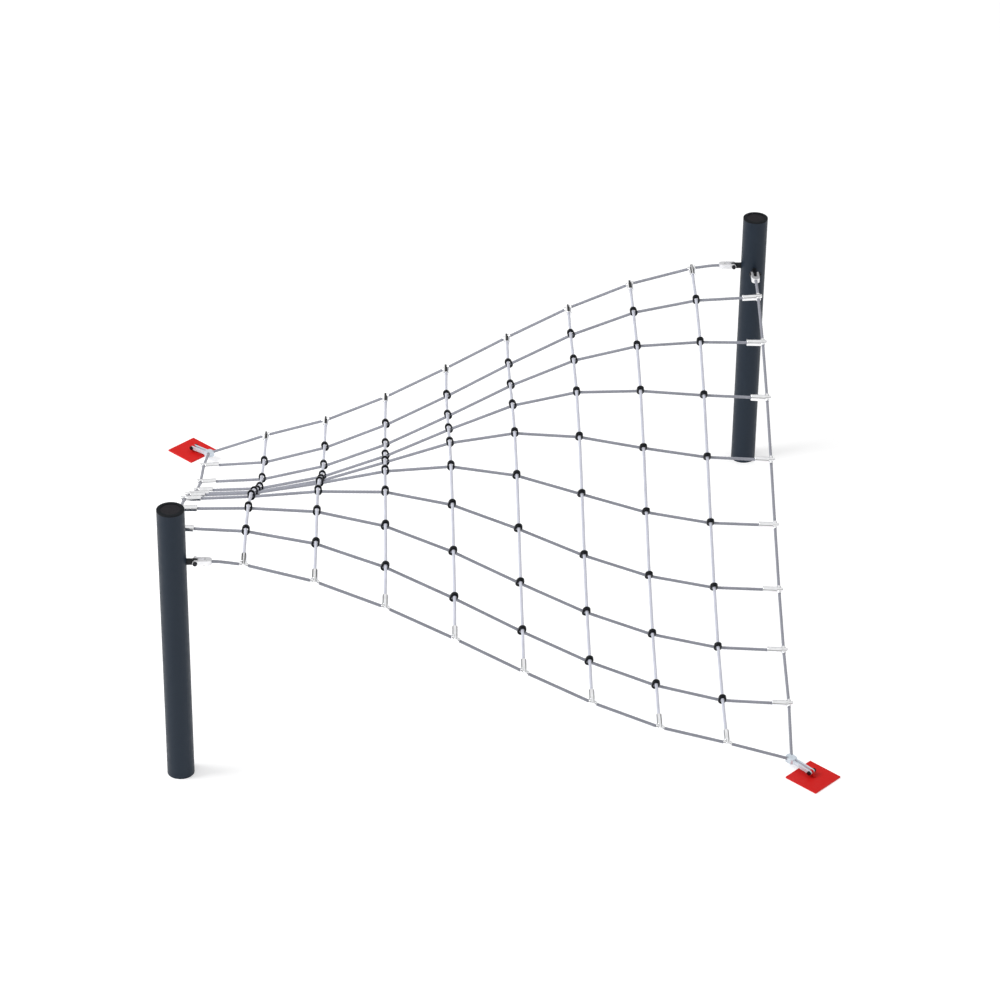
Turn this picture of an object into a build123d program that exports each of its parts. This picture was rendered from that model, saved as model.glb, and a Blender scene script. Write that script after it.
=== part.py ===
from build123d import *

import os
from math import cos, exp, pi, radians, sin, sqrt, tan

# A twisted climbing net on two posts and two ground anchors, in millimetres, +Z up.
# The origin is on the ground in the middle of the net. The front post is at -Y, the rear post
# at +Y, the left anchor at -X and the right anchor at +X.

# Layout of the net, seen from above a square that stands on its corners
net_side = 3000.0
cells = 9
net_ropes = cells - 1
cell = net_side / cells
net_corner = net_side / sqrt(2)

# Height of the net: edges that fall in a cosine curve from post to anchor, and a ridge between the posts
mid_height = 671.0
half_rise = 554.0
ridge_lift = 262.0
ridge_width = 0.37
ridge_end_fall = 1.25

# Ropes
rope_diameter = 16.0
rope_radius = rope_diameter / 2
crossing_gap = 0.5
bend_reach = 25.0
slight_turn = 2.5
bore_gap = 0.3
bore_reach = 75.0

# Posts
post_diameter = 133.0
post_wall = 4.0
post_height = 1500.0
cap_flange = 6.0
cap_spigot = 22.0
cap_spigot_gap = 0.4
cap_recess_diameter = 98.0
cap_recess_depth = 3.0
cap_round = 2.0

# Post lugs, bolts and fork terminals
lug_height = 1210.0
lug_reach = 40.0
lug_thickness = 18.0
lug_end_radius = 13.0
weld_gap = 0.2
bolt_diameter = 12.0
bolt_head_width = 19.0
bolt_head_thickness = 8.0
bolt_head_chamfer = 1.0
nut_thickness = 10.0
bolt_tail = 4.0
bolt_gap = 0.3
pivot_gap = 0.5
washer_gap = 0.1
fork_side_gap = 1.0
fork_arm = 11.0
fork_arm_height = 26.0
fork_crotch = 50.0
fork_length = 80.0
fork_socket_depth = 22.0
fork_rope_lead = 2.0

# Ground anchors and corner clevises
anchor_setback = 122.0
anchor_plate_side = 190.0
anchor_plate_thickness = 8.0
anchor_bolt_offset = 12.0
anchor_bolt_height = 30.0
anchor_lug_thickness = 10.0
anchor_lug_radius = 12.5
anchor_lug_foot = 46.0
clevis_arm = 9.0
clevis_arm_height = 19.0
clevis_block_width = 46.0
clevis_block_height = 26.0
clevis_block_back = 20.0
clevis_block_nose = 32.0
clevis_facet_distance = 29.0
clevis_rope_stop = 14.0
clevis_length = 126.0
clevis_rise = 12.0

# Crossing clamps, one oval collar round each pair of ropes
clamp_width = 38.0
clamp_length = 20.0
clamp_wall = 10.0
clamp_opening_width = 20.0
clamp_round = 3.0

# T-ferrules, which join the net's ropes to the edge ropes
ferrule_diameter = 34.0
ferrule_length = 85.0
ferrule_start = 10.0
ferrule_nub_diameter = 21.0
ferrule_nub_overhang = 20.0
ferrule_round = 2.5
ferrule_nub_round = 4.0
ferrule_bar_diameter = 25.0
ferrule_bar_length = 44.0
ferrule_bar_round = 2.0
ferrule_rope_stop = 14.0

right_angle = 90.0
os.makedirs("parts", exist_ok=True)


def save(shape, name):
    """Label one finished node and write its STEP file."""
    shape.label = name
    export_step(shape, f"parts/{name}.step")


def net_point(i, j):
    """The net's middle surface: i cells from the front post to the right, j cells to the left."""
    x = (i - j) * cell / sqrt(2)
    y = (i + j - cells) * cell / sqrt(2)
    u, v = i / cells, j / cells
    swell = max(sin(pi * u) * sin(pi * v), 0) ** ridge_end_fall
    ridge = ridge_lift * swell * exp(-(((u - v) / ridge_width) ** 2))
    z = mid_height + half_rise * cos(pi * u) * cos(pi * v) + ridge
    return Vector(x, y, z)


def net_normal(i, j):
    """The upward normal of the net's middle surface."""
    step = 0.01
    along_i = net_point(i + step, j) - net_point(i - step, j)
    along_j = net_point(i, j + step) - net_point(i, j - step)
    return along_i.cross(along_j).normalized()


def toward(start, end, distance):
    """The point that lies a distance from start on the way to end."""
    return start + (end - start).normalized() * distance


def turn_at(before, corner, after):
    """How far a path turns at a corner, in degrees."""
    return (corner - before).get_angle(after - corner)


def bend_radius(before, corner, after):
    return bend_reach / tan(radians(turn_at(before, corner, after)) / 2)


def cut_inside(before, corner, after):
    """From a corner to the middle of the arc that rounds it."""
    inside = (toward(corner, before, 1) + toward(corner, after, 1)) * 0.5 - corner
    half_turn = radians(turn_at(before, corner, after)) / 2
    return inside.normalized() * bend_radius(before, corner, after) * (1 / cos(half_turn) - 1)


def pushed_out(points):
    """Move each corner out so that the rope's arc, which cuts inside it, passes through it."""
    moved = list(points)
    for n in range(1, len(points) - 1):
        moved[n] = points[n] - cut_inside(*points[n - 1 : n + 2])
    return moved


def rope_tube(points, diameter=rope_diameter):
    """A round rope along straight runs joined by tangent arcs."""
    radii = [bend_radius(*points[n - 1 : n + 2]) for n in range(1, len(points) - 1)]
    with BuildPart() as tube:
        with BuildLine():
            FilletPolyline(*points, radius=radii)
        with BuildSketch(Plane(origin=points[0], z_dir=points[1] - points[0])):
            Circle(diameter / 2)
        sweep()
    return tube.part


def straight_bore(start, end, diameter):
    """A round cutter from start to end."""
    with BuildPart() as bore:
        with BuildSketch(Plane(origin=start, z_dir=end - start)):
            Circle(diameter / 2)
        extrude(amount=(end - start).length)
    return bore.part


def local_bore(points, n):
    """A cutter with a rope's clearance through its bend at point n, straight where it hardly turns."""
    before, corner, after = points[n - 1 : n + 2]
    diameter = rope_diameter + 2 * bore_gap
    if turn_at(before, corner, after) < slight_turn:
        middle = corner + cut_inside(before, corner, after)
        ahead = (toward(corner, after, 1) - toward(corner, before, 1)).normalized() * bore_reach
        return straight_bore(middle - ahead, middle + ahead, diameter)
    ends = toward(corner, before, bore_reach), toward(corner, after, bore_reach)
    return rope_tube([ends[0], corner, ends[1]], diameter)


def report_rope(name, shape, points):
    """Print a rope's volume against its section times its length, and its smallest radius."""
    runs = sum((b - a).length for a, b in zip(points, points[1:]))
    radii = [bend_radius(*points[n - 1 : n + 2]) for n in range(1, len(points) - 1)]
    turns = [turn_at(*points[n - 1 : n + 2]) for n in range(1, len(points) - 1)]
    saved = sum(
        2 * bend_reach - radius * radians(turn) for radius, turn in zip(radii, turns)
    )
    expected = pi * rope_radius**2 * (runs - saved)
    print(
        f"{name}: length {runs - saved:.0f} mm, volume ratio {shape.volume / expected:.5f},",
        f"radii {min(radii):.0f} to {max(radii):.0f} mm",
    )


# ---- Edges: each runs from a post to an anchor ----
# name: post side (+1 rear, -1 front), anchor side (+1 right, -1 left), and where its points are
edges = {
    "front_right": (-1, 1, lambda k: (k, 0)),
    "front_left": (-1, -1, lambda k: (0, k)),
    "rear_left": (1, -1, lambda k: (cells - k, cells)),
    "rear_right": (1, 1, lambda k: (cells, cells - k)),
}
post_names = {-1: "front", 1: "rear"}
anchor_names = {-1: "left", 1: "right"}


def post_foot(post):
    return Vector(0, post * net_corner, 0)


def edge_heading(post, anchor):
    """The level direction of an edge, away from its post."""
    return Vector(anchor, -post, 0).normalized()


def fork_pivot(post, anchor):
    out = post_diameter / 2 + lug_reach
    return post_foot(post) + Vector(0, 0, lug_height) + edge_heading(post, anchor) * out


def fork_frame(post, anchor):
    """Origin at the bolt's axis, X along the fork towards the net, Z up."""
    return Plane(origin=fork_pivot(post, anchor), x_dir=edge_heading(post, anchor), z_dir=(0, 0, 1))


def anchor_pivot(anchor):
    out = net_corner + anchor_setback - anchor_bolt_offset
    return Vector(anchor * out, 0, anchor_bolt_height)


def clevis_frame(anchor):
    """Origin at the anchor bolt's axis, X along the clevis towards the net, Z up from it."""
    ahead = Vector(-anchor * sqrt(clevis_length**2 - clevis_rise**2), 0, clevis_rise)
    return Plane(
        origin=anchor_pivot(anchor), x_dir=ahead, z_dir=ahead.cross(Vector(0, -anchor, 0))
    )


def clevis_centre(anchor):
    return clevis_frame(anchor).from_local_coords(Vector(clevis_length, 0, 0))


def edge_route(name):
    """The corners of an edge rope, from inside its fork to inside its clevis block."""
    post, anchor, spot = edges[name]
    out = edge_heading(post, anchor)
    pivot = fork_pivot(post, anchor)
    inside = pivot + out * (fork_length - fork_socket_depth + bore_gap)
    bend = pivot + out * (fork_length + bend_reach + fork_rope_lead)
    joints = [net_point(*spot(k)) for k in range(1, cells)]
    stop = toward(clevis_centre(anchor), joints[-1], clevis_rope_stop)
    return [inside, *pushed_out([bend, *joints, stop])]


edge_routes = {name: edge_route(name) for name in edges}


def crossing(i, j, side):
    """Where a rope lies at a crossing: side +1 is above the middle surface, -1 below it."""
    return net_point(i, j) + net_normal(i, j) * side * (rope_diameter + crossing_gap) / 2


def net_route(number, across):
    """A net rope's corners. Cross ropes run above from the front right edge, long ropes below."""
    spots = [(number, n) if across else (n, number) for n in range(cells + 1)]
    side = 1 if across else -1
    middle = [crossing(*spot, side) for spot in spots[1:-1]]
    first = toward(net_point(*spots[0]), middle[0], ferrule_rope_stop)
    last = toward(net_point(*spots[-1]), middle[-1], ferrule_rope_stop)
    return pushed_out([first, *middle, last])


rope_numbers = range(1, cells)
cross_routes = {n: net_route(n, True) for n in rope_numbers}
long_routes = {n: net_route(n, False) for n in rope_numbers}

# ---- Posts and their caps ----
tube_height = post_height - cap_flange
for post, end in post_names.items():
    with BuildPart() as post_tube:
        with BuildSketch(Plane(origin=post_foot(post))):
            Circle(post_diameter / 2)
            Circle(post_diameter / 2 - post_wall, mode=Mode.SUBTRACT)
        extrude(amount=tube_height)
    save(post_tube.part, f"{end}_post_tube")

    cap_seat = Plane(origin=post_foot(post) + Vector(0, 0, tube_height))
    with BuildPart() as post_cap:
        with BuildSketch(cap_seat):
            Circle(post_diameter / 2)
        extrude(amount=cap_flange)
        fillet(post_cap.faces().sort_by(Axis.Z)[-1].edges(), radius=cap_round)
        with BuildSketch(cap_seat.offset(cap_flange)):
            Circle(cap_recess_diameter / 2)
        extrude(amount=-cap_recess_depth, mode=Mode.SUBTRACT)
        with BuildSketch(cap_seat):
            Circle(post_diameter / 2 - post_wall - cap_spigot_gap)
        extrude(amount=-cap_spigot)
    save(post_cap.part, f"{end}_post_cap")

# ---- Post lugs, welded to the tubes ----
for name, (post, anchor, spot) in edges.items():
    frame = fork_frame(post, anchor)
    upright = Plane(origin=frame.origin, x_dir=frame.x_dir, z_dir=frame.y_dir)
    with BuildPart() as post_lug:
        with BuildSketch(upright):
            Circle(lug_end_radius)
            with Locations((-lug_reach / 2 - post_wall, 0)):
                Rectangle(lug_reach + 2 * post_wall, 2 * lug_end_radius)
            Circle(bolt_diameter / 2 + pivot_gap, mode=Mode.SUBTRACT)
        extrude(amount=lug_thickness / 2, both=True)
        with BuildSketch(Plane(origin=post_foot(post))):
            Circle(post_diameter / 2 + weld_gap)
        extrude(amount=post_height, mode=Mode.SUBTRACT)
    save(post_lug.part, f"{name}_post_lug")

# ---- Fork terminals: a U whose closed end holds the rope ----
fork_gap = lug_thickness + 2 * fork_side_gap
fork_width = fork_gap + 2 * fork_arm


def fork_plan(width, end):
    """A strip along X of the given width that ends in a half circle."""
    with Locations((end - width / 2 - fork_length, 0)):
        Rectangle(2 * fork_length, width)
    with Locations((end - width / 2, 0)):
        Circle(width / 2)


with BuildPart() as fork_form:
    with BuildSketch(Plane.XY):
        fork_plan(fork_width, fork_length)
    extrude(amount=fork_arm_height / 2, both=True)
    with BuildSketch(Plane.XZ):
        Circle(fork_arm_height / 2)
        with Locations((fork_length / 2, 0)):
            Rectangle(fork_length, fork_arm_height)
    extrude(amount=fork_width, both=True, mode=Mode.INTERSECT)
    with BuildSketch(Plane.XY):
        fork_plan(fork_gap, fork_crotch)
    extrude(amount=fork_arm_height, both=True, mode=Mode.SUBTRACT)
    with BuildSketch(Plane.XZ):
        Circle(bolt_diameter / 2 + bolt_gap)
    extrude(amount=fork_width, both=True, mode=Mode.SUBTRACT)
    with BuildSketch(Plane.YZ.offset(fork_length)):
        Circle(rope_radius + bore_gap)
    extrude(amount=-fork_socket_depth, mode=Mode.SUBTRACT)


def bolt_and_nut(grip):
    """A bolt along Y through a fork of the given width, its head at -Y and its nut at +Y."""
    head_side = -grip / 2 - washer_gap
    nut_side = grip / 2 + washer_gap
    with BuildPart() as pair:
        with BuildSketch(Plane.XZ.offset(-head_side)):
            RegularPolygon(bolt_head_width / 2, 6, major_radius=False)
        extrude(amount=bolt_head_thickness)
        chamfer(pair.faces().sort_by(Axis.Y)[0].edges(), length=bolt_head_chamfer)
        with BuildSketch(Plane.XZ.offset(-head_side)):
            Circle(bolt_diameter / 2)
        extrude(amount=head_side - nut_side - nut_thickness - bolt_tail)
        with BuildSketch(Plane.XZ.offset(-nut_side)):
            RegularPolygon(bolt_head_width / 2, 6, major_radius=False)
            Circle(bolt_diameter / 2 + bolt_gap, mode=Mode.SUBTRACT)
        extrude(amount=-nut_thickness)
    return pair.part


fork_bolt_form = bolt_and_nut(fork_width)
for name, (post, anchor, spot) in edges.items():
    frame = fork_frame(post, anchor)
    with BuildPart() as fork_terminal:
        with Locations(frame.location):
            add(fork_form.part)
    save(fork_terminal.part, f"{name}_fork")

    with BuildPart() as fork_bolt:
        with Locations(frame.location):
            add(fork_bolt_form)
    save(fork_bolt.part, f"{name}_fork_bolt")

# ---- Ground anchors ----
for anchor, side in anchor_names.items():
    plate_middle = Vector(anchor * (net_corner + anchor_setback), 0, 0)
    with BuildPart() as anchor_plate:
        with BuildSketch(Plane(origin=plate_middle)):
            Rectangle(anchor_plate_side, anchor_plate_side)
        extrude(amount=anchor_plate_thickness)
    save(anchor_plate.part, f"{side}_anchor_plate")

    pivot = anchor_pivot(anchor)
    lug_foot = anchor_bolt_height - anchor_plate_thickness
    with BuildPart() as anchor_lug:
        with BuildSketch(Plane(origin=pivot, x_dir=(1, 0, 0), z_dir=(0, -1, 0))):
            Circle(anchor_lug_radius)
            with BuildLine():
                Polyline(
                    (-anchor_lug_radius, 0),
                    (anchor_lug_radius, 0),
                    (anchor_lug_foot / 2, -lug_foot),
                    (-anchor_lug_foot / 2, -lug_foot),
                    close=True,
                )
            make_face()
            Circle(bolt_diameter / 2 + pivot_gap, mode=Mode.SUBTRACT)
        extrude(amount=anchor_lug_thickness / 2, both=True)
    save(anchor_lug.part, f"{side}_anchor_lug")

# ---- Corner clevises: two arms, and a block that holds the ends of two edge ropes ----
clevis_gap = anchor_lug_thickness + 2 * fork_side_gap
clevis_width = clevis_gap + 2 * clevis_arm
facet_sum = clevis_facet_distance * sqrt(2)
block_start = clevis_length - clevis_block_back
block_shoulder = block_start + (clevis_block_width - clevis_width) / 2
facet_start = clevis_length + facet_sum - clevis_block_width / 2
nose = clevis_length + clevis_block_nose
with BuildPart() as clevis_form:
    with BuildSketch(Plane.XZ):
        Circle(clevis_arm_height / 2)
        with Locations((clevis_length / 2, 0)):
            Rectangle(clevis_length, clevis_arm_height)
    extrude(amount=clevis_width / 2, both=True)
    with BuildSketch(Plane.XY):
        with BuildLine():
            Polyline(
                (block_start, -clevis_width / 2),
                (block_shoulder, -clevis_block_width / 2),
                (facet_start, -clevis_block_width / 2),
                (nose, clevis_block_nose - facet_sum),
                (nose, facet_sum - clevis_block_nose),
                (facet_start, clevis_block_width / 2),
                (block_shoulder, clevis_block_width / 2),
                (block_start, clevis_width / 2),
                close=True,
            )
        make_face()
    extrude(amount=clevis_block_height / 2, both=True)
    with BuildSketch(Plane.XY):
        slot_end = block_start - fork_side_gap
        with Locations((slot_end - clevis_length / 2 - clevis_gap / 2, 0)):
            Rectangle(clevis_length, clevis_gap)
        with Locations((slot_end - clevis_gap / 2, 0)):
            Circle(clevis_gap / 2)
    extrude(amount=clevis_block_height, both=True, mode=Mode.SUBTRACT)
    with BuildSketch(Plane.XZ):
        Circle(bolt_diameter / 2 + bolt_gap)
    extrude(amount=clevis_width, both=True, mode=Mode.SUBTRACT)

anchor_bolt_form = bolt_and_nut(clevis_width)
for anchor, side in anchor_names.items():
    frame = clevis_frame(anchor)
    centre = clevis_centre(anchor)
    rope_runs = [edge_routes[name][-2] for name in edges if edges[name][1] == anchor]
    with BuildPart() as corner_clevis:
        with Locations(frame.location):
            add(clevis_form.part)
        for run_start in rope_runs:
            bore_end = toward(centre, run_start, clevis_rope_stop - bore_gap)
            bore_mouth = toward(centre, run_start, clevis_length)
            bore = straight_bore(bore_end, bore_mouth, rope_diameter + 2 * bore_gap)
            add(bore, mode=Mode.SUBTRACT)
    save(corner_clevis.part, f"{side}_corner_clevis")

    with BuildPart() as anchor_bolt:
        turned = right_angle * (1 + anchor)
        with Locations(frame.location * Location((0, 0, 0), (turned, 0, 0))):
            add(anchor_bolt_form)
    save(anchor_bolt.part, f"{side}_anchor_bolt")

# ---- Ropes ----
rope_nodes = {f"{name}_edge_rope": route for name, route in edge_routes.items()}
rope_nodes |= {f"cross_rope_{n}": route for n, route in cross_routes.items()}
rope_nodes |= {f"long_rope_{n}": route for n, route in long_routes.items()}
for name, route in rope_nodes.items():
    rope = rope_tube(route)
    report_rope(name, rope, route)
    save(rope, name)

# ---- Crossing clamps: eight oval collars on each cross rope ----
clamp_opening_height = 2 * (rope_diameter + crossing_gap)
clamp_height = clamp_opening_height + 2 * clamp_wall
with BuildPart() as clamp_form:
    with BuildSketch(Plane.XY):
        SlotOverall(clamp_height, clamp_width)
    extrude(amount=clamp_length / 2, both=True)
    fillet(clamp_form.edges().filter_by(Plane.XY), radius=clamp_round)
    with BuildSketch(Plane.XY):
        SlotOverall(clamp_opening_height, clamp_opening_width)
    extrude(amount=clamp_length, both=True, mode=Mode.SUBTRACT)

for n in rope_numbers:
    with BuildPart() as clamp_row:
        for k in rope_numbers:
            tangent = cross_routes[n][k + 1] - cross_routes[n][k - 1]
            upward = net_normal(n, k)
            upward = upward - tangent * (upward.dot(tangent) / tangent.length**2)
            with Locations(Plane(net_point(n, k), x_dir=upward, z_dir=tangent).location):
                add(clamp_form.part)
            add(local_bore(long_routes[k], n), mode=Mode.SUBTRACT)
    save(clamp_row.part, f"clamp_row_{n}")

# ---- T-ferrules: eight on each edge rope ----
nub_lift = (ferrule_diameter - ferrule_nub_diameter) / 2
with BuildPart() as ferrule_form:
    with BuildSketch(Plane.XY.offset(ferrule_start)):
        Circle(ferrule_diameter / 2)
    extrude(amount=ferrule_length - ferrule_start)
    fillet(ferrule_form.edges().filter_by(GeomType.CIRCLE), radius=ferrule_round)
    with BuildSketch(Plane.XY.offset(-ferrule_nub_overhang)):
        with Locations((nub_lift, 0)):
            Circle(ferrule_nub_diameter / 2)
    extrude(amount=ferrule_nub_overhang + 2 * ferrule_start)
    fillet(ferrule_form.faces().sort_by(Axis.Z)[0].edges(), radius=ferrule_nub_round)

with BuildPart() as ferrule_bar_form:
    with BuildSketch(Plane.XY.offset(-ferrule_bar_length / 2)):
        Circle(ferrule_bar_diameter / 2)
    extrude(amount=ferrule_bar_length)
    fillet(ferrule_bar_form.edges().filter_by(GeomType.CIRCLE), radius=ferrule_bar_round)

for name, (post, anchor, spot) in edges.items():
    edge = edge_routes[name]
    with BuildPart() as ferrules:
        for k in rope_numbers:
            i, j = spot(k)
            across = j in (0, cells)
            route = cross_routes[i] if across else long_routes[j]
            if (j if across else i) == cells:
                route = route[::-1]
            joint = net_point(i, j)
            along = route[1] - route[0]
            upward = net_normal(i, j)
            upward = upward - along * (upward.dot(along) / along.length**2)
            with Locations(Plane(joint, x_dir=upward, z_dir=along).location):
                add(ferrule_form.part)
            with Locations(Plane(joint, z_dir=edge[k + 2] - edge[k]).location):
                add(ferrule_bar_form.part)
            add(local_bore(edge, k + 1), mode=Mode.SUBTRACT)
            bore_end = toward(route[0], route[1], -bore_gap)
            bore_mouth = toward(route[0], route[1], 2 * ferrule_length)
            bore = straight_bore(bore_end, bore_mouth, rope_diameter + 2 * bore_gap)
            add(bore, mode=Mode.SUBTRACT)
    save(ferrules.part, f"{name}_ferrules")
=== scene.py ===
from math import cos, exp, pi, radians, sin, sqrt

import bpy
from mathutils import Matrix, Vector


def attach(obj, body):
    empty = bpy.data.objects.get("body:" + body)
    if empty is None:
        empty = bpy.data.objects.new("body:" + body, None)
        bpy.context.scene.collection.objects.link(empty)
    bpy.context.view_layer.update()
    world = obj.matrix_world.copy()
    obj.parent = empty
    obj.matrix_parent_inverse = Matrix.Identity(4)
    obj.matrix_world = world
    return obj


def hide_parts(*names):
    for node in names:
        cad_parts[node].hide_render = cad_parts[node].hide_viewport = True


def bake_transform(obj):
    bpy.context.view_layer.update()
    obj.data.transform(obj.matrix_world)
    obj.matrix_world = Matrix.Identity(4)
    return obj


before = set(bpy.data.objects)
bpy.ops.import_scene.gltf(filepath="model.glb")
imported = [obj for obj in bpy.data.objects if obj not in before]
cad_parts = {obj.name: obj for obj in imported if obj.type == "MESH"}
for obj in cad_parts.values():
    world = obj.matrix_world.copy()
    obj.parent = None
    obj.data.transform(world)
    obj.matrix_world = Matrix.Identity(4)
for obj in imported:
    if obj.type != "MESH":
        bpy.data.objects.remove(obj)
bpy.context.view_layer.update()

# The looks of a twisted climbing net on two posts and two ground anchors, in metres, +Z up.
# The net's form and the parts' sizes are the CAD model's own. The ropes' strands, the bolts' washers
# and threads, and the weld beads are made here only.

# Layout and height of the net
net_side = 3.0
cells = 9
cell = net_side / cells
net_corner = net_side / sqrt(2)
mid_height = 0.671
half_rise = 0.554
ridge_lift = 0.262
ridge_width = 0.37
ridge_end_fall = 1.25

# Ropes
rope_diameter = 0.016
rope_radius = rope_diameter / 2
crossing_gap = 0.0005
bend_reach = 0.025
bore_gap = 0.0003
ferrule_rope_stop = 0.014

# Strands, which only the visual ropes have
strands = 6
strand_radius = 0.0031
strand_lay = 0.105
strand_points = 5
rope_ring_step = 0.009

# Posts
post_diameter = 0.133
post_height = 1.5
cap_recess_depth = 0.003

# Post lugs, bolts and fork terminals
lug_height = 1.21
lug_reach = 0.04
lug_thickness = 0.018
lug_half_height = 0.013
bolt_diameter = 0.012
bolt_head_width = 0.019
bolt_head_thickness = 0.008
nut_thickness = 0.010
bolt_tail = 0.004
washer_gap = 0.0001
fork_side_gap = 0.001
fork_arm = 0.011
fork_length = 0.08
fork_socket_depth = 0.022
fork_rope_lead = 0.002

# Ground anchors and corner clevises
anchor_setback = 0.122
anchor_bolt_offset = 0.012
anchor_bolt_height = 0.03
anchor_plate_thickness = 0.008
anchor_lug_thickness = 0.01
anchor_lug_foot = 0.046
clevis_arm = 0.009
clevis_rope_stop = 0.014
clevis_length = 0.126
clevis_rise = 0.012

# Washers, hexagon chamfers and threads of the visual bolts
washer_thickness = 0.0012
washer_radius = 0.0109
washer_rim_radius = 0.0106
washer_rim_depth = 0.0002
hexagon_corner_radius = bolt_head_width / sqrt(3)
hexagon_cut_radius = 0.0102
hexagon_top_radius = 0.0092
hexagon_cut_depth = 0.0012
hexagon_top_depth = 0.0005
thread_pitch = 0.001
thread_depth = 0.0006
thread_lead_in = 0.0005
bolt_points_round = 48

# Weld beads, which only the visual lugs have
weld_radius = 0.0028
weld_stations = 160
weld_points_round = 10
weld_ripple = 0.1
weld_ripple_stations = 4
weld_squareness = 6

# Camera, which stands in front of the net and to the right of the front post
camera_place = Vector((11.0428, -11.6697, 10.3801))
camera_yaw = radians(43.097)
camera_pitch = radians(31.241)
camera_roll = radians(0.772)
camera_lens = 131.16
camera_sensor_width = 36
camera_far_end = 300

# Floor, sky and lamp
floor_half = 90
floor_glow = 0.3
sky_strength = 0.85
# A grey band above the horizon, for the metals to mirror: height of the view's direction, and grey.
# The band lies above what the camera sees.
sky_stops = ((0.14, 1.0), (0.19, 0.06), (0.42, 0.06), (0.5, 1.0))
key_place = Vector((-5, -7, 9))
key_aim = Vector((0, 0, 0.6))
key_size = 5
key_power = 700

# Each edge: its post (front -1, rear +1), its anchor (left -1, right +1), and its spots from post to anchor
edges = {
    "front_right": (-1, 1, lambda k: (k, 0)),
    "front_left": (-1, -1, lambda k: (0, k)),
    "rear_left": (1, -1, lambda k: (cells - k, cells)),
    "rear_right": (1, 1, lambda k: (cells, cells - k)),
}
anchor_names = {-1: "left", 1: "right"}
rope_numbers = range(1, cells)
upward = Vector((0, 0, 1))


# ---- The net's form, as in the CAD model ----
def net_point(i, j):
    """The net's middle surface: i cells from the front post to the right, j cells to the left."""
    x = (i - j) * cell / sqrt(2)
    y = (i + j - cells) * cell / sqrt(2)
    u, v = i / cells, j / cells
    swell = max(sin(pi * u) * sin(pi * v), 0) ** ridge_end_fall
    ridge = ridge_lift * swell * exp(-(((u - v) / ridge_width) ** 2))
    z = mid_height + half_rise * cos(pi * u) * cos(pi * v) + ridge
    return Vector((x, y, z))


def net_normal(i, j):
    """The upward normal of the net's middle surface."""
    step = 0.01
    along_i = net_point(i + step, j) - net_point(i - step, j)
    along_j = net_point(i, j + step) - net_point(i, j - step)
    return along_i.cross(along_j).normalized()


def toward(start, end, distance):
    """The point that lies a distance from start on the way to end."""
    return start + (end - start).normalized() * distance


def pushed_out(points):
    """Move each corner out so that the rope's bend, which cuts inside it, passes through it."""
    moved = list(points)
    for n in range(1, len(points) - 1):
        before, corner, after = points[n - 1 : n + 2]
        middle = (toward(corner, before, bend_reach) + toward(corner, after, bend_reach)) / 2
        moved[n] = corner + (corner - middle) / 2
    return moved


def edge_heading(post, anchor):
    """The level direction of an edge, away from its post."""
    return Vector((anchor, -post, 0)).normalized()


def fork_pivot(post, anchor):
    """The middle of a fork's bolt."""
    foot = Vector((0, post * net_corner, lug_height))
    return foot + edge_heading(post, anchor) * (post_diameter / 2 + lug_reach)


def anchor_pivot(anchor):
    """The middle of an anchor's bolt."""
    out = net_corner + anchor_setback - anchor_bolt_offset
    return Vector((anchor * out, 0, anchor_bolt_height))


def clevis_ahead(anchor):
    """From the anchor bolt to the clevis's rope block."""
    return Vector((-anchor * sqrt(clevis_length**2 - clevis_rise**2), 0, clevis_rise))


def clevis_centre(anchor):
    """The middle of a clevis's rope block."""
    return anchor_pivot(anchor) + clevis_ahead(anchor)


def edge_route(name):
    """The corners of an edge rope, from inside its fork to inside its clevis block."""
    post, anchor, spot = edges[name]
    out = edge_heading(post, anchor)
    pivot = fork_pivot(post, anchor)
    inside = pivot + out * (fork_length - fork_socket_depth + bore_gap)
    bend = pivot + out * (fork_length + bend_reach + fork_rope_lead)
    joints = [net_point(*spot(k)) for k in range(1, cells)]
    stop = toward(clevis_centre(anchor), joints[-1], clevis_rope_stop)
    return [inside, *pushed_out([bend, *joints, stop])]


def crossing(i, j, side):
    """Where a rope lies at a crossing: side +1 is above the middle surface, -1 below it."""
    return net_point(i, j) + net_normal(i, j) * side * (rope_diameter + crossing_gap) / 2


def net_route(number, across):
    """A net rope's corners. Cross ropes run above from the front right edge, long ropes below."""
    spots = [(number, n) if across else (n, number) for n in range(cells + 1)]
    side = 1 if across else -1
    middle = [crossing(*spot, side) for spot in spots[1:-1]]
    first = toward(net_point(*spots[0]), middle[0], ferrule_rope_stop)
    last = toward(net_point(*spots[-1]), middle[-1], ferrule_rope_stop)
    return pushed_out([first, *middle, last])


# ---- Camera ----
camera_data = bpy.data.cameras.new("camera")
camera_data.lens = camera_lens
camera_data.sensor_width = camera_sensor_width
camera_data.clip_end = camera_far_end
camera = bpy.data.objects.new("camera", camera_data)
bpy.context.scene.collection.objects.link(camera)
camera.matrix_world = (
    Matrix.Translation(camera_place)
    @ Matrix.Rotation(camera_yaw, 4, "Z")
    @ Matrix.Rotation(radians(90) - camera_pitch, 4, "X")
    @ Matrix.Rotation(camera_roll, 4, "Z")
)
bpy.context.scene.camera = camera
bpy.context.scene.view_settings.view_transform = "Standard"


# ---- Pieces and materials ----
def link(name, mesh, material):
    """A new object that shows a mesh in a material."""
    piece = bpy.data.objects.new(name, mesh)
    bpy.context.scene.collection.objects.link(piece)
    mesh.materials.append(material)
    return piece


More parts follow.
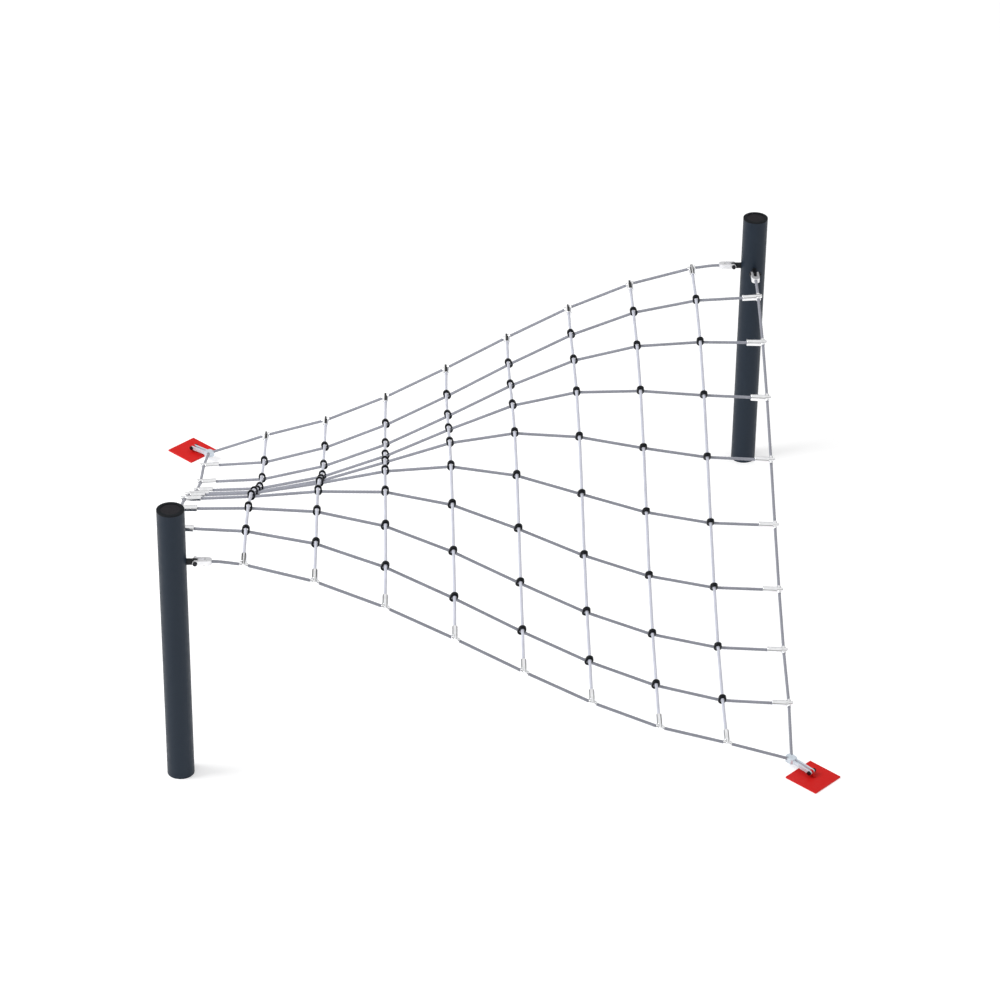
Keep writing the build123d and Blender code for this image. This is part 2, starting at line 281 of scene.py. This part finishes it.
class Shader:
    """A material's node tree, with short names for the nodes that these finishes use."""

    def __init__(self, name, **constants):
        self.material = bpy.data.materials.new(name)
        self.material.use_nodes = True
        self.tree = self.material.node_tree
        self.surface = self.tree.nodes["Principled BSDF"]
        for key, value in constants.items():
            self.surface.inputs[key.replace("_", " ")].default_value = value

    def node(self, kind, **settings):
        made = self.tree.nodes.new("ShaderNode" + kind)
        for key, value in settings.items():
            setattr(made, key, value)
        return made

    def link(self, out, into):
        self.tree.links.new(out, into)

    def place(self, stretch=(1, 1, 1)):
        """Coordinates in metres, stretched along the axes."""
        coordinates = self.node("TexCoord")
        mapping = self.node("Mapping")
        mapping.inputs["Scale"].default_value = stretch
        self.link(coordinates.outputs["Object"], mapping.inputs["Vector"])
        return mapping.outputs["Vector"]

    def flow(self, stretch=(1, 1, 1)):
        """A piece's own coordinates: along it, round it and out from its middle."""
        attribute = self.node("Attribute", attribute_name="flow")
        mapping = self.node("Mapping")
        mapping.inputs["Scale"].default_value = stretch
        self.link(attribute.outputs["Vector"], mapping.inputs["Vector"])
        return mapping.outputs["Vector"]

    def noise(self, vector, scale, detail=3, roughness=0.5):
        texture = self.node("TexNoise")
        texture.inputs["Scale"].default_value = scale
        texture.inputs["Detail"].default_value = detail
        texture.inputs["Roughness"].default_value = roughness
        self.link(vector, texture.inputs["Vector"])
        return texture.outputs["Fac"]

    def cells(self, vector, scale):
        texture = self.node("TexVoronoi")
        texture.inputs["Scale"].default_value = scale
        self.link(vector, texture.inputs["Vector"])
        return texture.outputs["Distance"]

    def waves(self, vector, scale, distortion):
        texture = self.node("TexWave", wave_type="BANDS", bands_direction="DIAGONAL")
        texture.inputs["Scale"].default_value = scale
        texture.inputs["Distortion"].default_value = distortion
        self.link(vector, texture.inputs["Vector"])
        return texture.outputs["Fac"]

    def ramp(self, value, *stops):
        """Colours along a value. A stop is (place, colour)."""
        made = self.node("ValToRGB")
        band = made.color_ramp
        while len(band.elements) < len(stops):
            band.elements.new(0.5)
        for element, (place, colour) in zip(band.elements, stops):
            element.position = place
            element.color = (*colour, 1)
        self.link(value, made.inputs["Fac"])
        return made.outputs["Color"]

    def range(self, value, low, high, start=0.0, end=1.0):
        """A value that goes from low to high as the given one goes from start to end."""
        made = self.node("MapRange")
        for key, number in zip(("From Min", "From Max", "To Min", "To Max"), (start, end, low, high)):
            made.inputs[key].default_value = number
        self.link(value, made.inputs["Value"])
        return made.outputs["Result"]

    def multiply(self, one, other):
        made = self.node("Mix", data_type="RGBA", blend_type="MULTIPLY")
        made.inputs["Factor"].default_value = 1
        self.link(one, made.inputs["A"])
        self.link(other, made.inputs["B"])
        return made.outputs["Result"]

    def bump(self, height, distance, strength=1.0, before=None):
        made = self.node("Bump")
        made.inputs["Distance"].default_value = distance
        made.inputs["Strength"].default_value = strength
        self.link(height, made.inputs["Height"])
        if before:
            self.link(before, made.inputs["Normal"])
        return made.outputs["Normal"]

    def worn(self, colour, paint_colour):
        """Lighter paint on the sharp edges, where it is rubbed."""
        pointiness = self.node("NewGeometry").outputs["Pointiness"]
        mask = self.range(pointiness, low=0, high=1, start=0.52, end=0.62)
        made = self.node("Mix", data_type="RGBA")
        made.inputs["B"].default_value = (*colour, 1)
        self.link(mask, made.inputs["Factor"])
        self.link(paint_colour, made.inputs["A"])
        return made.outputs["Result"]

    def finish(self, colour=None, roughness=None, normal=None):
        for out, key in ((colour, "Base Color"), (roughness, "Roughness"), (normal, "Normal")):
            if out:
                self.link(out, self.surface.inputs[key])
        return self.material


def shade(colour, factor):
    """A colour made lighter or darker."""
    return tuple(min(1.0, part * factor) for part in colour)


def powder_coat(name, colour, roughness, gloss):
    """Powder coating: orange peel, faint uneven tone, and edges a little lighter."""
    peel_depth = 0.00006
    speckle_depth = peel_depth / 3
    coat = Shader(name, Specular_IOR_Level=gloss)
    place = coat.place()
    cloud = coat.noise(place, scale=9, detail=4)
    peel = coat.noise(place, scale=620, detail=2)
    speckle = coat.noise(place, scale=2600, detail=1)
    tone = coat.ramp(cloud, (0.3, shade(colour, 0.9)), (0.7, shade(colour, 1.1)))
    tone = coat.worn(shade(colour, 1.35), tone)
    patches = coat.noise(place, scale=34, detail=5)
    rough = coat.range(patches, low=roughness - 0.07, high=roughness + 0.08, start=0.3, end=0.7)
    fine = coat.bump(speckle, distance=speckle_depth, strength=0.5)
    return coat.finish(tone, rough, coat.bump(peel, distance=peel_depth, strength=0.6, before=fine))


def moulded_plastic(name, colour, roughness, gloss, recess_colour=None):
    """Moulded plastic: a fine spark-eroded grain and slightly uneven gloss.
    The floor of a cap's recess may have its own colour, which is found by its height."""
    plastic = Shader(name, Specular_IOR_Level=gloss)
    place = plastic.place()
    grain = plastic.cells(place, scale=1500)
    cloud = plastic.noise(place, scale=60, detail=4)
    tone = plastic.ramp(cloud, (0.35, shade(colour, 0.85)), (0.7, shade(colour, 1.25)))
    tone = plastic.worn(shade(colour, 2.2), tone)
    if recess_colour:
        recess = post_height - cap_recess_depth
        near, far = 0.0004, 0.0006
        split = plastic.node("SeparateXYZ")
        plastic.link(place, split.inputs[0])
        height = split.outputs["Z"]
        over = plastic.range(height, low=0, high=1, start=recess - far, end=recess - near)
        under = plastic.range(height, low=1, high=0, start=recess + near, end=recess + far)
        inside = plastic.node("Math", operation="MULTIPLY")
        plastic.link(over, inside.inputs[0])
        plastic.link(under, inside.inputs[1])
        mix = plastic.node("Mix", data_type="RGBA")
        mix.inputs["B"].default_value = (*recess_colour, 1)
        plastic.link(inside.outputs["Value"], mix.inputs["Factor"])
        plastic.link(tone, mix.inputs["A"])
        tone = mix.outputs["Result"]
    rough = plastic.range(cloud, low=roughness - 0.08, high=roughness + 0.1, start=0.3, end=0.7)
    return plastic.finish(tone, rough, plastic.bump(grain, distance=0.00005, strength=0.5))


def metal(name, colour, roughness, grain, grain_depth, metallic=1.0):
    """Bare metal with a fine grain and duller patches. Less metallic, it mirrors dark surroundings less."""
    bare = Shader(name, Metallic=metallic)
    place = bare.place()
    cloud = bare.noise(place, scale=45, detail=5)
    scratch = bare.noise(place, scale=grain, detail=3)
    tone = bare.ramp(cloud, (0.3, shade(colour, 0.9)), (0.65, colour))
    rough = bare.range(cloud, low=roughness * 1.4, high=roughness * 0.8, start=0.35, end=0.65)
    return bare.finish(tone, rough, bare.bump(scratch, distance=grain_depth, strength=0.5))


def rope_finish(name, colour):
    """Laid polyester strands: each strand's yarns run along it, with painted shade in the valleys between
    strands.
    """
    rope = Shader(name, Roughness=0.62, IOR=1.46, Sheen_Weight=0.25, Sheen_Roughness=0.4)
    yarn = rope.waves(rope.flow((90, 1.6, 0)), scale=6, distortion=1.0)
    fibre = rope.noise(rope.flow((900, 30, 0)), scale=1, detail=3)
    cloud = rope.noise(rope.place(), scale=14, detail=4)
    out = rope.node("SeparateXYZ")
    rope.link(rope.flow(), out.inputs[0])
    # Painted shade: the colour darkens by depth towards the valleys between strands.
    valley_shade = rope.ramp(out.outputs["Z"], (0.76, (0.55, 0.55, 0.6)), (0.93, (1, 1, 1)))
    tone = rope.ramp(cloud, (0.3, shade(colour, 0.94)), (0.7, shade(colour, 1.06)))
    tone = rope.multiply(tone, valley_shade)
    tone = rope.multiply(tone, rope.ramp(yarn, (0.0, (0.88, 0.88, 0.89)), (0.6, (1, 1, 1))))
    fine = rope.bump(fibre, distance=0.0002, strength=0.4)
    return rope.finish(tone, normal=rope.bump(yarn, distance=0.0004, strength=0.5, before=fine))


pale_rope = rope_finish("pale_rope", (0.70, 0.715, 0.80))
grey_rope = rope_finish("grey_rope", (0.345, 0.355, 0.405))
post_coating = powder_coat("post_coating", (0.012, 0.019, 0.030), 0.42, 0.18)
cap_plastic = moulded_plastic("cap_plastic", (0.007, 0.009, 0.011), 0.5, 0.1, (0.018, 0.017, 0.020))
black_steel = powder_coat("black_steel", (0.006, 0.007, 0.009), 0.4, 0.2)
black_bolt = metal("black_bolt", (0.035, 0.035, 0.04), 0.38, 900, 0.00004)
red_coating = powder_coat("red_coating", (0.47, 0.009, 0.008), 0.42, 0.12)
clamp_plastic = moulded_plastic("clamp_plastic", (0.004, 0.005, 0.007), 0.3, 0.14)
polished_fork = metal("polished_fork", (0.94, 0.94, 0.96), 0.34, 1400, 0.00001, metallic=0.6)
clevis_aluminium = metal("clevis_aluminium", (0.72, 0.79, 0.86), 0.5, 700, 0.00006, metallic=0.4)
ferrule_aluminium = metal("ferrule_aluminium", (0.98, 0.985, 1.0), 0.09, 1100, 0.000005)

finishes = {
    "_post_tube": post_coating,
    "_post_cap": cap_plastic,
    "_post_lug": black_steel,
    "_fork": polished_fork,
    "_fork_bolt": black_bolt,
    "_anchor_plate": red_coating,
    "_anchor_lug": red_coating,
    "_corner_clevis": clevis_aluminium,
    "_anchor_bolt": black_bolt,
    "_ferrules": ferrule_aluminium,
    **{f"clamp_row_{n}": clamp_plastic for n in rope_numbers},
}
for name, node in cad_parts.items():
    for ending, material in finishes.items():
        if name.endswith(ending):
            node.data.materials.clear()
            node.data.materials.append(material)


# ---- Ropes ----
def taut_line(corners, turned):
    """The smooth centreline of a taut rope: straight from clamp to clamp, with a short bend at each.
    The corners that turn get a point on each side, so that the stretch between stays straight."""
    points = [corners[0]]
    for n in range(1, len(corners) - 1):
        corner = corners[n]
        if n in turned:
            points.append(toward(corner, corners[n - 1], 2 * bend_reach))
        points.append(corner)
        points.append(toward(corner, corners[n + 1], 2 * bend_reach))
    points.append(corners[-1])
    curve = bpy.data.curves.new("line", "CURVE")
    curve.dimensions = "3D"
    spline = curve.splines.new("NURBS")
    spline.points.add(len(points) - 1)
    for control, point in zip(spline.points, points):
        control.co = (*point, 1)
    spline.order_u = 3
    spline.use_endpoint_u = True
    spline.resolution_u = 16
    holder = bpy.data.objects.new("line", curve)
    line = bpy.data.meshes.new_from_object(holder)
    centre = [vertex.co.copy() for vertex in line.vertices]
    bpy.data.objects.remove(holder)
    bpy.data.curves.remove(curve)
    bpy.data.meshes.remove(line)
    return centre


def evenly(line, step):
    """Points along a line at equal distances, and the distance."""
    lengths = [0.0]
    for before, after in zip(line, line[1:]):
        lengths.append(lengths[-1] + (after - before).length)
    count = max(2, round(lengths[-1] / step))
    step = lengths[-1] / count
    points = []
    at = 0
    for n in range(count + 1):
        distance = n * step
        while at < len(line) - 2 and lengths[at + 1] < distance:
            at += 1
        share = (distance - lengths[at]) / (lengths[at + 1] - lengths[at])
        points.append(line[at].lerp(line[at + 1], min(share, 1)))
    return points, step


def strand_profile():
    """Angle and radius of each point round a laid rope: overlapping round strands."""
    middle = rope_radius - strand_radius
    profile = []
    for n in range(strands * strand_points):
        angle = 2 * pi * n / (strands * strand_points)
        off = (angle + pi / strands) % (2 * pi / strands) - pi / strands
        radius = middle * cos(off) + sqrt(strand_radius**2 - (middle * sin(off)) ** 2)
        profile.append((angle, radius))
    return profile


def rope_mesh(name, line):
    """A laid rope along a line, with the attribute flow: metres along, turns round, and depth."""
    points, step = evenly(line, rope_ring_step)
    profile = strand_profile()
    mesh = bpy.data.meshes.new(name)
    vertices, flow, faces = [], [], []
    tangent = (points[1] - points[0]).normalized()
    side = tangent.orthogonal().normalized()
    for n, point in enumerate(points):
        ahead = points[min(n + 1, len(points) - 1)] - points[max(n - 1, 0)]
        turn = tangent.rotation_difference(ahead.normalized())
        tangent = ahead.normalized()
        side = (turn @ side).normalized()
        up = tangent.cross(side)
        twist = 2 * pi * n * step / strand_lay
        for angle, radius in profile:
            vertices.append(
                point + (side * cos(angle + twist) + up * sin(angle + twist)) * radius
            )
            flow.append((n * step, angle / (2 * pi) * strands, radius / rope_radius))
    count = len(profile)
    for n in range(len(points) - 1):
        for k in range(count):
            one, two = n * count + k, n * count + (k + 1) % count
            faces.append((one, two, two + count, one + count))
    faces.append(tuple(reversed(range(count))))
    faces.append(tuple(range(len(vertices) - count, len(vertices))))
    mesh.from_pydata(vertices, [], faces)
    attribute = mesh.attributes.new("flow", "FLOAT_VECTOR", "POINT")
    attribute.data.foreach_set("vector", [part for point in flow for part in point])
    mesh.polygons.foreach_set("use_smooth", [True] * len(mesh.polygons))
    mesh.update()
    return mesh


def add_net_rope(name, corners, material):
    """A rope across the net, which stays with the net."""
    line = taut_line(corners, range(1, len(corners) - 1))
    piece = link(name + "_strands", rope_mesh(name, line), material)
    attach(piece, "frame_and_net")
    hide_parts(name)


for n in rope_numbers:
    add_net_rope(f"cross_rope_{n}", net_route(n, True), pale_rope)
    add_net_rope(f"long_rope_{n}", net_route(n, False), grey_rope)

# The real rope bends only between its end fitting and the nearest T-ferrule, which holds it still. Here
# each edge rope is made in two halves, split at the middle of its line, and both stay where they are built.
for name, (post, anchor, spot) in edges.items():
    corners = edge_route(name)
    node = f"{name}_edge_rope"
    line = taut_line(corners, range(2, len(corners) - 1))
    middle = len(line) // 2
    halves = {"upper": line[: middle + 1], "lower": line[middle:]}
    for half, stretch in halves.items():
        piece = link(f"{node}_{half}", rope_mesh(f"{node}_{half}", stretch), grey_rope)
        if half == "upper":
            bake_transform(piece)
        else:
            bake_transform(piece)
        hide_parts(node)


# ---- Bolts with washers, chamfered hexagons and a threaded end ----
def hexagon(angle, widest):
    """The radius of a hexagon at an angle, cut round to the widest radius."""
    return min(bolt_head_width / 2 / cos(angle % radians(60) - radians(30)), widest)


def ring_mesh(name, rings, points_round):
    """A closed mesh from rings of points."""
    mesh = bpy.data.meshes.new(name)
    faces = []
    for n in range(len(rings) - 1):
        for k in range(points_round):
            one, two = n * points_round + k, n * points_round + (k + 1) % points_round
            faces.append((one, two, two + points_round, one + points_round))
    faces.append(tuple(reversed(range(points_round))))
    faces.append(tuple(range((len(rings) - 1) * points_round, len(rings) * points_round)))
    mesh.from_pydata([point for ring in rings for point in ring], [], faces)
    mesh.update()
    return mesh


def hexagon_end(face, top):
    """From a clamped face out over a washer to a hexagon's top: distance, and radius at an angle."""
    washer_top = face + washer_thickness
    return [
        (face, lambda angle: bolt_diameter / 2),
        (face, lambda angle: washer_radius),
        (washer_top - washer_rim_depth, lambda angle: washer_radius),
        (washer_top, lambda angle: washer_rim_radius),
        (washer_top, lambda angle: hexagon(angle, hexagon_corner_radius)),
        (top - hexagon_cut_depth, lambda angle: hexagon(angle, hexagon_corner_radius)),
        (top - hexagon_top_depth, lambda angle: hexagon(angle, hexagon_cut_radius)),
        (top, lambda angle: hexagon(angle, hexagon_top_radius)),
    ]


def bolt_stations(grip):
    """Along a bolt from the head's top to the threaded end: distance, and radius at an angle."""
    shank = bolt_diameter / 2
    face = grip / 2 + washer_gap
    nut_top = face + nut_thickness
    head = hexagon_end(face, face + bolt_head_thickness)
    stations = [(-distance, radius_at) for distance, radius_at in reversed(head)]
    stations += hexagon_end(face, nut_top)
    stations.append((nut_top, lambda angle: shank - thread_lead_in))
    for n in range(round(bolt_tail / thread_pitch)):
        start = nut_top + n * thread_pitch
        stations.append((start + thread_pitch / 2, lambda angle: shank))
        stations.append((start + thread_pitch, lambda angle: shank - thread_depth))
    return stations


def add_bolt(name, body, pivot, ahead, toward_nut, grip):
    """A bolt through a pivot, its nut on the given side."""
    side = toward_nut.cross(ahead)
    rings = []
    for distance, radius_at in bolt_stations(grip):
        ring = []
        for k in range(bolt_points_round):
            angle = 2 * pi * k / bolt_points_round
            spoke = ahead * cos(angle) + side * sin(angle)
            ring.append(pivot + toward_nut * distance - spoke * radius_at(angle))
        rings.append(ring)
    mesh = ring_mesh(name + "_and_nut", rings, bolt_points_round)
    piece = link(name + "_and_nut", mesh, black_bolt)
    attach(piece, body)
    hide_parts(name)


fork_grip = lug_thickness + 2 * (fork_side_gap + fork_arm)
clevis_grip = anchor_lug_thickness + 2 * (fork_side_gap + clevis_arm)
for name, (post, anchor, spot) in edges.items():
    ahead = edge_heading(post, anchor)
    toward_nut = upward.cross(ahead)
    pivot = fork_pivot(post, anchor)
    add_bolt(f"{name}_fork_bolt", f"{name}_terminal", pivot, ahead, toward_nut, fork_grip)
for anchor, side in anchor_names.items():
    ahead = clevis_ahead(anchor).normalized()
    toward_nut = Vector((0, 1, 0))
    pivot = anchor_pivot(anchor)
    add_bolt(f"{side}_anchor_bolt", f"{side}_corner", pivot, ahead, toward_nut, clevis_grip)


# ---- Weld beads round the feet of the lugs ----
def add_weld(name, material, centres):
    """A closed bead along points round a lug's foot."""
    count = len(centres)
    middle = sum(centres, Vector()) / count
    rings = []
    for n, centre in enumerate(centres + centres[:1]):
        ahead = (centres[(n + 1) % count] - centres[(n - 1) % count]).normalized()
        out = (centre - middle).normalized()
        up = ahead.cross(out).normalized()
        out = up.cross(ahead)
        radius = weld_radius * (1 + weld_ripple * sin(2 * pi * n / weld_ripple_stations))
        ring = []
        for k in range(weld_points_round):
            angle = 2 * pi * k / weld_points_round
            ring.append(centre + (out * cos(angle) + up * sin(angle)) * radius)
        rings.append(ring)
    piece = link(name, ring_mesh(name, rings, weld_points_round), material)
    piece.data.polygons.foreach_set("use_smooth", [True] * len(piece.data.polygons))
    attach(piece, "frame_and_net")


def round_rectangle(half_width, half_height):
    """Points round a rectangle with round corners."""
    points = []
    for n in range(weld_stations):
        angle = 2 * pi * (n / weld_stations)
        across, up = cos(angle), sin(angle)
        reach = (abs(across) ** weld_squareness + abs(up) ** weld_squareness) ** (-1 / weld_squareness)
        points.append((across * reach * half_width, up * reach * half_height))
    return points


def post_lug_foot_line(post, anchor):
    """Points round a post lug's foot, on the round wall of the post."""
    ahead = edge_heading(post, anchor)
    side = upward.cross(ahead)
    middle = Vector((0, post * net_corner, lug_height))
    centres = []
    for across, up in round_rectangle(lug_thickness / 2, lug_half_height):
        out = sqrt((post_diameter / 2) ** 2 - across**2)
        centres.append(middle + ahead * out + side * across + Vector((0, 0, up)))
    return centres


def anchor_lug_foot_line(anchor):
    """Points round an anchor lug's foot, on the flat ground plate."""
    middle = anchor_pivot(anchor)
    outline = round_rectangle(anchor_lug_foot / 2, anchor_lug_thickness / 2)
    return [Vector((middle.x + x, middle.y + y, anchor_plate_thickness)) for x, y in outline]


for name, (post, anchor, spot) in edges.items():
    add_weld(f"{name}_post_lug_weld", black_steel, post_lug_foot_line(post, anchor))
for anchor, side in anchor_names.items():
    add_weld(f"{side}_anchor_lug_weld", red_coating, anchor_lug_foot_line(anchor))

# ---- Floor and light ----
floor_mesh = bpy.data.meshes.new("floor")
floor_mesh.from_pydata(
    [(x * floor_half, y * floor_half, 0) for x, y in ((-1, -1), (1, -1), (1, 1), (-1, 1))],
    [],
    [(0, 1, 2, 3)],
)
floor_paint = Shader("floor_paint", Roughness=0.9, Specular_IOR_Level=0.0)
floor_paint.surface.inputs["Emission Color"].default_value = (1, 1, 1, 1)
floor_paint.surface.inputs["Emission Strength"].default_value = floor_glow
floor_cloud = floor_paint.noise(floor_paint.place(), scale=0.8)
floor_tone = floor_paint.ramp(floor_cloud, (0, (0.9, 0.9, 0.9)), (1, (0.92, 0.92, 0.92)))
floor = link("floor", floor_mesh, floor_paint.finish(floor_tone))

world = bpy.data.worlds.new("studio")
world.use_nodes = True
sky = world.node_tree
backdrop = sky.nodes["Background"]
backdrop.inputs["Strength"].default_value = sky_strength
direction = sky.nodes.new("ShaderNodeTexCoord")
split = sky.nodes.new("ShaderNodeSeparateXYZ")
band = sky.nodes.new("ShaderNodeValToRGB")
while len(band.color_ramp.elements) < len(sky_stops):
    band.color_ramp.elements.new(0.5)
for element, (height, grey) in zip(band.color_ramp.elements, sky_stops):
    element.position = height
    element.color = (grey, grey, grey, 1)
sky.links.new(direction.outputs["Generated"], split.inputs[0])
sky.links.new(split.outputs["Z"], band.inputs["Fac"])
sky.links.new(band.outputs["Color"], backdrop.inputs["Color"])
bpy.context.scene.world = world


# A square softbox, which faces the net
key_data = bpy.data.lights.new("key", "AREA")
key_data.size = key_size
key_data.energy = key_power
key = bpy.data.objects.new("key", key_data)
bpy.context.scene.collection.objects.link(key)
key.location = key_place
key.rotation_mode = "QUATERNION"
key.rotation_quaternion = (key_aim - key_place).to_track_quat("-Z", "Y")
